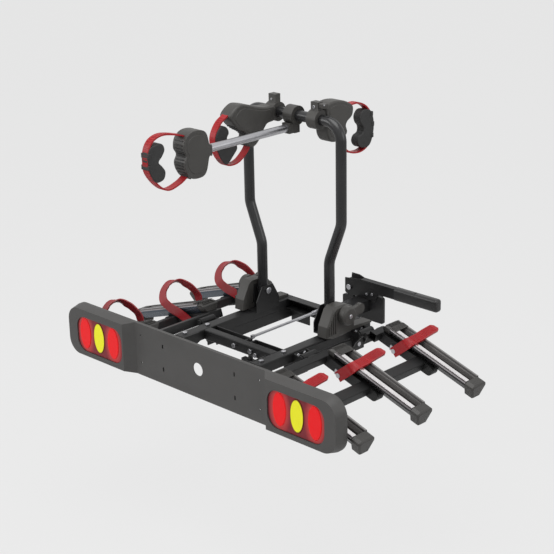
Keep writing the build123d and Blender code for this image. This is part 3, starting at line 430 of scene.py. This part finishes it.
def new_piece(name, bm, body, materials, replaces=(), round_mm=0.0, angle=35, segments=2):
    """Turns a bmesh that is already in place into a named piece that rides on its body."""
    mesh = bpy.data.meshes.new(name)
    bm.to_mesh(mesh)
    bm.free()
    piece = bpy.data.objects.new(name, mesh)
    bpy.context.collection.objects.link(piece)
    mesh.shade_smooth()
    mesh.set_sharp_from_angle(angle=math.radians(angle))
    if round_mm:
        edge = piece.modifiers.new("round", "BEVEL")
        edge.width = round_mm * mm
        edge.segments = segments
        edge.limit_method = "ANGLE"
        edge.angle_limit = math.radians(angle)
    for material in materials if isinstance(materials, list) else [materials]:
        mesh.materials.append(material)
    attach(piece, body)
    if replaces:
        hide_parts(*replaces)
    return piece


def placed_cube(bm, centre, size, turn=Matrix.Identity(4)):
    """Adds a block of one size, turned about its own middle."""
    place = Matrix.Translation(centre) @ turn @ Matrix.Diagonal((*size, 1))
    bmesh.ops.create_cube(bm, size=1.0, matrix=place)


def placed_disc(bm, centre, radius, depth, axis="Z", count=28):
    """Adds a short round bar with its middle at the centre."""
    turn = {"X": Matrix.Rotation(math.pi / 2, 4, "Y"), "Y": Matrix.Rotation(math.pi / 2, 4, "X"),
            "Z": Matrix.Identity(4)}[axis]
    bmesh.ops.create_cone(bm, cap_ends=True, segments=count, radius1=radius, radius2=radius, depth=depth,
                          matrix=Matrix.Translation(centre) @ turn)


def extruded_rail(middle, place, order):
    """The rail's section swept along the wing, with a tone of painted light and shade on each strip."""
    bm = bmesh.new()
    near = [bm.verts.new((rail_start, middle + y, rail_seat + w)) for y, w, _ in rail_strips]
    section = bm.faces.new(near)
    bmesh.ops.recalc_face_normals(bm, faces=[section])
    made = bmesh.ops.extrude_face_region(bm, geom=[section])
    far = [item for item in made["geom"] if isinstance(item, bmesh.types.BMVert)]
    bmesh.ops.translate(bm, verts=far, vec=(rail_end - rail_start, 0, 0))
    bmesh.ops.recalc_face_normals(bm, faces=bm.faces)
    count = len(rail_strips)
    for face in bm.faces:
        if len(face.verts) != 4:
            continue
        centre = face.calc_center_median()
        best = min(range(count), key=lambda index: abs(
            (rail_strips[index][0] + rail_strips[(index + 1) % count][0]) / 2 + middle - centre.y) + abs(
            (rail_strips[index][1] + rail_strips[(index + 1) % count][1]) / 2 + rail_seat - centre.z))
        face.material_index = order.index(rail_strips[best][2])
    bmesh.ops.transform(bm, matrix=place, verts=bm.verts)
    bmesh.ops.recalc_face_normals(bm, faces=bm.faces)
    return bm


rail_order = list(rail_light_and_shade)
# On the left the painted highlights on top are dull, and the painted shade on the side is blue-grey.
dull_painted_highlight = (0.14, 0.14, 0.15)
left_light_and_shade = {**rail_light_and_shade, "side": (0.065, 0.082, 0.105), "bright": dull_painted_highlight, "far": dull_painted_highlight}
tone_drift = 0.85
rail_metals = {}
for side, tones in (("right", rail_light_and_shade), ("left", left_light_and_shade)):
    rail_metals[side] = []
    for tone, colour in tones.items():
        darker = tuple(part * tone_drift for part in colour)
        shine = 1.0 if tone == "bright" else 0.4
        metal = finish(f"rail {tone} {side}", darker, colour, 0.26, slow_scale=30.0, bump=0.04,
                       Metallic=shine)
        rail_metals[side].append(metal)

# Bare folded plates hang under the side members between the hinges, and under the front
# crossmember beside the coupling neck.
skirt_thick = 3.5
side_skirt_places = (135.3, 176.7)
side_skirt_length = 324
side_skirt_drop = 32
front_skirt_width = 74
front_skirt_drop = 44
skirts = bmesh.new()
for way in (-1, 1):
    for x in side_skirt_places:
        placed_cube(skirts, (way * x, 358, 77), (skirt_thick, side_skirt_length, side_skirt_drop))
    placed_cube(skirts, (way * 97, 507, 71), (front_skirt_width, skirt_thick, front_skirt_drop))
bmesh.ops.transform(skirts, matrix=rack_place, verts=skirts.verts)
bmesh.ops.recalc_face_normals(skirts, faces=skirts.faces)
new_piece("frame_skirts", skirts, "platform", powder_coat, round_mm=0.5)

for side, place in (("right", wing_place), ("left", left_place)):
    softened("hinge_bracket_" + side, "platform", powder_coat, round_mm=0.6)
    softened("wing_frame_" + side, "wing_" + side, powder_coat, round_mm=0.8)
    softened("rail_caps_" + side, "wing_" + side, cap_plastic, round_mm=1.2)
    softened("strap_anchors_" + side, "wing_" + side, bright_steel, round_mm=0.8)
    ribs = bmesh.new()
    for row, label in enumerate(("front", "middle", "rear")):
        middle = rail_front + rail_width / 2 + row * rail_step
        rail = extruded_rail(middle, place, rail_order)
        new_piece(f"rail_{label}_{side}", rail, "wing_" + side, rail_metals[side],
                  replaces=(f"wheel_rail_{label}_{side}",), angle=20)
        for rib in range(cap_ribs):
            along = rib_first + rib * rib_step
            fall = max(0.0, rail_start - inner_cap_length + cap_slant - along)
            placed_cube(ribs, (along, middle, rail_top + plate_thick - fall),
                        (rib_width, rail_width - 14, rib_rise))
        placed_cube(ribs, ((rail_start + plate_end) / 2, middle, rail_top + plate_thick / 2),
                    (plate_end - rail_start, rail_width - 8, plate_thick))
    bmesh.ops.transform(ribs, matrix=place, verts=ribs.verts)
    bmesh.ops.recalc_face_normals(ribs, faces=ribs.faces)
    new_piece("cap_ribs_" + side, ribs, "wing_" + side, cap_plastic)


# The wheel straps are ladder straps of flexible red plastic, moulded flat with a row of rungs
# and two side rails. Each is pinned under its arm. On the right they are pulled over the rail,
# and on the left they stand up in a loop.
strap_width = 30.0
strap_thick = 3.0
rung_pitch = 7.0
rung_width = 2.4
rung_rise = 1.2
edge_rise = 0.6
band_steps = 90
fine_steps = 24
right_thick = 5.5


def smooth_line(knots, count):
    """Evenly spaced places on one smooth line through the knots, each with its direction."""
    knots = [Vector(knot) for knot in knots]
    ends = [2 * knots[0] - knots[1]] + knots + [2 * knots[-1] - knots[-2]]
    fine = []
    for index in range(1, len(ends) - 2):
        a, b, c, d = ends[index - 1:index + 3]
        for step in range(fine_steps):
            t = step / fine_steps
            fine.append(0.5 * (2 * b + (c - a) * t + (2 * a - 5 * b + 4 * c - d) * t * t
                               + (3 * b - a - 3 * c + d) * t * t * t))
    fine.append(knots[-1])
    along = [0.0]
    for before, after in zip(fine, fine[1:]):
        along.append(along[-1] + (after - before).length)
    places = []
    index = 0
    for step in range(count + 1):
        target = along[-1] * step / count
        while index < len(along) - 2 and along[index + 1] < target:
            index += 1
        share = (target - along[index]) / (along[index + 1] - along[index])
        spot = fine[index].lerp(fine[index + 1], share)
        places.append((spot, (fine[index + 1] - fine[index]).normalized()))
    return places, along[-1]


def band_frame(spot, way, across):
    """The directions across, along and out of a band at one place."""
    side = (across - way * across.dot(way)).normalized()
    out = side.cross(way).normalized()
    return Matrix((side, way, out)).transposed().to_4x4(), spot


def ladder_band(knots, width, thick, place, across=Vector((1, 0, 0)), rungs=(0.0, 1.0), outward=1.0,
                round_end=True, tip=0.35):
    """A bmesh of a flat band along the knots, with side rails and rungs raised on its outer face."""
    count = band_steps
    places, length = smooth_line(knots, count)
    bm = bmesh.new()
    for face in (0.5, -0.5):
        bmesh.ops.create_grid(bm, x_segments=6, y_segments=count, size=0.5,
                              matrix=Matrix.Translation((0, 0, face)))
    for vert in bm.verts:
        step = min(count, max(0, round((vert.co.y + 0.5) * count)))
        turn, spot = band_frame(*places[step], across)
        share = vert.co.x * 2
        rail = edge_rise if abs(share) > 0.8 and vert.co.z * outward > 0 else 0.0
        from_end = (count - step) * length / count
        shape = 1.0
        if round_end and from_end < width / 2:
            shape = max(tip, math.sqrt(1 - (1 - 2 * from_end / width) ** 2))
        lift = vert.co.z * thick + outward * rail
        vert.co = spot + turn @ Vector((share * width / 2 * shape, 0, lift))
    rim = [edge for edge in bm.edges if edge.is_boundary]
    bmesh.ops.bridge_loops(bm, edges=rim)
    for rung in range(int(length * rungs[0] / rung_pitch) + 1, int(length * rungs[1] / rung_pitch)):
        step = round(rung * rung_pitch / length * count)
        turn, spot = band_frame(*places[min(step, count)], across)
        centre = spot + turn @ Vector((0, 0, outward * (thick / 2 + 0.1)))
        size = Matrix.Diagonal((width * 0.8, rung_width, rung_rise, 1))
        bmesh.ops.create_cube(bm, size=1.0, matrix=Matrix.Translation(centre) @ turn @ size)
    bmesh.ops.transform(bm, matrix=place, verts=bm.verts)
    bmesh.ops.recalc_face_normals(bm, faces=bm.faces)
    return bm


def right_strap_knots(near):
    """From the pin under the arm, up over the rail's near lip and flat across to the far side."""
    start = near - 5
    return [(98, start, -14), (104, start, -4), (120, start, 20), (132, near - 4, 38),
            (138, near + 8, rail_top + 3), (137, near + 34, rail_top + 3), (133, near + 62, rail_top + 3),
            (128, near + 96, rail_top + 1), (123, near + 131, rail_top - 2)]


def left_strap_knots(near):
    """From the pin under the arm, out and up into a standing loop, and down beside the rail."""
    start = near - 5
    far = near + rail_width
    return [(98, start, -14), (110, start, -2), (143, start, 22), (180, start, 43), (207, near - 2, 65),
            (220, near + 12, 86), (216, near + 26, 103), (199, near + 35, 111), (168, near + 43, 110),
            (143, near + 50, 97), (128, near + 56, 80), (124, far + 4, 60), (127, far + 5, 36)]


# The straps on the left wing take a darker red than those on the right.
darker_strap = finish("darker red strap", (0.24, 0.01, 0.014), (0.3, 0.014, 0.02), 0.36, bump=0.08)
for row, label in enumerate(("front", "middle", "rear")):
    near = rail_front + row * rail_step
    band = ladder_band(right_strap_knots(near), strap_width, right_thick, wing_place, rungs=(0.25, 0.97),
                       tip=0.55)
    new_piece(f"wheel_band_{label}_right", band, "wing_right", strap_plastic,
              replaces=(f"wheel_strap_{label}_right",))
    band = ladder_band(left_strap_knots(near), strap_width, strap_thick, left_place, rungs=(0.1, 0.95),
                       outward=-1.0)
    new_piece(f"wheel_band_{label}_left", band, "wing_left", darker_strap,
              replaces=(f"wheel_strap_{label}_left",))


# Three grips ride on the arch. Each is a two-part moulded holder screwed together, a clamp ring
# round the arch, and a strap loop that carries a soft jaw pad. The outer one sits on a long
# bright tube, so it reaches the bicycle farthest from the car.
holder_width = 44.0
loop_width = 22.0
loop_thick = 3.5
grip_middle = {"outer": 3.0, "middle": -70.0, "inner": 90.0}
holder_outline = {
    "outer": [(38, 640), (22, 626), (-14, 628), (-33, 650), (-38, 672), (-30, 690), (-39, 708), (-34, 734),
              (-12, 750), (20, 750), (40, 738), (50, 706), (58, 704), (58, 676), (48, 674)],
    "middle": [(196, 742), (227, 766), (258, 764), (304, 750), (334, 744), (366, 740), (366, 704), (334, 696),
               (312, 668), (296, 650), (279, 642), (262, 650), (264, 674), (250, 689), (230, 700),
               (210, 716)],
    "inner": [(404, 757), (429, 766), (465, 763), (494, 752), (510, 738), (506, 714), (486, 700), (481, 688),
              (486, 672), (474, 658), (448, 652), (420, 656), (404, 678), (403, 715)],
}
loop_knots = {
    "outer": [(-20, 738), (-44, 747), (-94, 757), (-127, 750), (-145, 730), (-150, 698), (-146, 666),
              (-118, 630), (-86, 612), (-47, 620), (-20, 634)],
    "middle": [(222, 752), (198, 742), (168, 724), (149, 692), (152, 660), (168, 628), (193, 607), (232, 608),
               (266, 632), (284, 660)],
    "inner": [(486, 740), (510, 741), (546, 740), (580, 722), (600, 690), (603, 656), (590, 620), (556, 602),
              (510, 607), (480, 632), (466, 668)],
}
loop_outward = {"outer": -1.0, "middle": -1.0, "inner": 1.0}
ring_share = 5


def smooth_ring(knots):
    """The closed smooth outline through a few corners of a moulding."""
    share = ring_share
    ring = []
    total = len(knots)
    for index in range(total):
        a, b, c, d = (Vector(knots[(index + step) % total]) for step in (-1, 0, 1, 2))
        for step in range(share):
            t = step / share
            ring.append(0.5 * (2 * b + (c - a) * t + (2 * a - 5 * b + 4 * c - d) * t * t
                               + (3 * b - a - 3 * c + d) * t * t * t))
    return ring


pad_outline = {
    "outer": [(-151.5, 690), (-151, 716), (-143, 732), (-124, 738), (-104, 736), (-96, 720), (-105, 704),
              (-117, 691), (-106, 678), (-96, 662), (-103, 643), (-128, 640), (-145, 662)],
    "middle": [(147, 690), (156, 708), (171, 719), (190, 712), (197, 696), (190, 682), (202, 669), (220, 665),
               (227, 648), (214, 632), (188, 610), (170, 622), (157, 645), (149, 668)],
    "inner": [(604, 690), (591, 713), (562, 718), (547, 702), (550, 684), (561, 670), (560, 654), (543, 646),
              (537, 630), (550, 614), (578, 609), (595, 622), (606, 656)],
}
pad_width = 27.0
panel_share = 0.8
tooth_size = (30.0, 3.2, 5.0)
keeper_size = (pad_width + 3, 9.0, 13.0)
keeper_place = {"outer": [(-148, 682), (-147, 712)], "middle": [(152, 664)],
                "inner": [(601, 672), (598, 640), (596, 702)]}
tooth_knots = {"outer": (2, 7), "middle": (11, 15), "inner": (5, 9)}


def side_prism(bm, ring, low, high):
    """Adds a closed solid of one (y, z) outline between two stations across the rack."""
    face = bm.faces.new([bm.verts.new((low, y, z)) for y, z in ring])
    made = bmesh.ops.extrude_face_region(bm, geom=[face])
    moved = [item for item in made["geom"] if isinstance(item, bmesh.types.BMVert)]
    bmesh.ops.translate(bm, verts=moved, vec=(high - low, 0, 0))


def shrunk(ring, share):
    """The same outline drawn smaller about its own middle."""
    centre = sum((Vector(point) for point in ring), Vector((0, 0))) / len(ring)
    return [centre + (Vector(point) - centre) * share for point in ring]


def finished(bm):
    """Takes a piece drawn in the rack's own millimetres to its place."""
    bmesh.ops.recalc_face_normals(bm, faces=bm.faces)
    bmesh.ops.transform(bm, matrix=rack_place, verts=bm.verts)
    return bm


for name in ("outer", "middle", "inner"):
    body = name + "_grip"
    middle = grip_middle[name]
    ring = smooth_ring(holder_outline[name])
    shell = bmesh.new()
    side_prism(shell, ring, middle - holder_width / 2, middle + holder_width / 2)
    new_piece(name + "_holder_shell", finished(shell), body, cover_plastic,
              replaces=(name + "_holder",), round_mm=5.0, segments=4)
    panel = bmesh.new()
    for way in (-1, 1):
        face = middle + way * holder_width / 2
        side_prism(panel, shrunk(ring, panel_share), *sorted((face - way * 2, face + way * 1.0)))
    new_piece(name + "_holder_panels", finished(panel), body, cover_plastic, round_mm=1.0)
    teeth = bmesh.new()
    first, last = tooth_knots[name]
    for index in range(first * ring_share, last * ring_share, 2):
        way = (ring[(index + 1) % len(ring)] - ring[index - 1]).normalized()
        turn = Matrix.Rotation(math.atan2(way.y, way.x), 4, "X")
        placed_cube(teeth, (middle, ring[index].x, ring[index].y), tooth_size, turn)
    new_piece(name + "_holder_teeth", finished(teeth), body, pad_rubber, round_mm=0.8)
    knots = [(middle, y, z) for y, z in loop_knots[name]]
    band = ladder_band(knots, loop_width, loop_thick, rack_place, rungs=(0.12, 0.88),
                       outward=loop_outward[name], round_end=False)
    new_piece(name + "_loop_band", band, body, strap_plastic, replaces=(name + "_loop",))
    pad = bmesh.new()
    side_prism(pad, smooth_ring(pad_outline[name]), middle - pad_width / 2, middle + pad_width / 2)
    new_piece(name + "_jaw_pad", finished(pad), body, pad_rubber, replaces=(name + "_pad",),
              round_mm=3.0, segments=3)
    keepers = bmesh.new()
    for y, z in keeper_place[name]:
        placed_cube(keepers, (middle, y, z), keeper_size)
    new_piece(name + "_keepers", finished(keepers), body, pad_rubber, round_mm=1.0)
softened("outer_arm", "outer_grip", bright_steel, round_mm=0.8)


# Each grip's clamp ring is two moulded halves pulled together by a bright bolt, and the inner one
# has a short lever on its ear.
clamp_bolt_length = 3.0
lever_middle = (113, 386, 762)
lever_size = (27, 16, 14)
clamp_bolts = {"outer": ((10, 375.5, 680, 3.0),), "middle": ((-72, 375.5, 756, 3.2),),
               "inner": ((88, 375.5, 757, 5.0), (124, 377.5, 766, 2.2))}
for name in ("outer", "middle", "inner"):
    body = name + "_grip"
    softened(name + "_clamp", body, cover_plastic, round_mm=3.0, segments=3)
    bolts = bmesh.new()
    for x, y, z, radius in clamp_bolts[name]:
        placed_disc(bolts, (x, y, z), radius, clamp_bolt_length, "Y")
    new_piece(name + "_clamp_bolts", finished(bolts), body, bright_steel, round_mm=0.6)
tab = bmesh.new()
placed_cube(tab, lever_middle, lever_size)
new_piece("inner_clamp_lever", finished(tab), "inner_grip", cover_plastic, round_mm=3.0,
          segments=3)


# The coupling grips the tow ball. Its head is a welded steel plate and cup, the folded steel lever
# over it drives the jaw, and a moulded sleeve is pushed on the lever's end. The crank and the
# sprung rod along the platform release the tilt.
lever_front = 676.5
rivet_places = ((15.7, 120.3), (36.9, 124.3))
rivet_radius = 4.3
rivet_length = 1.9
softened("coupling_head", "coupling", powder_coat, round_mm=1.0)
softened("coupling_neck", "coupling", powder_coat, round_mm=1.0)
softened("coupling_pins", "coupling", bright_steel, round_mm=0.6)
softened("ball_jaw", "jaw", powder_coat, round_mm=0.6)
softened("coupling_lever", "lever", powder_coat, round_mm=0.6)
rivets = bmesh.new()
for x, z in rivet_places:
    placed_disc(rivets, (x, lever_front - 0.9, z), rivet_radius, rivet_length, "Y")
new_piece("lever_rivet_heads", finished(rivets), "lever", bright_steel, round_mm=0.7)
softened("lever_grip", "lever", grip_plastic, round_mm=1.5)
softened("release_rod", "release", bright_steel, round_mm=0.6)
softened("release_crank", "crank", powder_coat, round_mm=0.8)
softened("release_spring", "platform", bright_steel, round_mm=0.0)
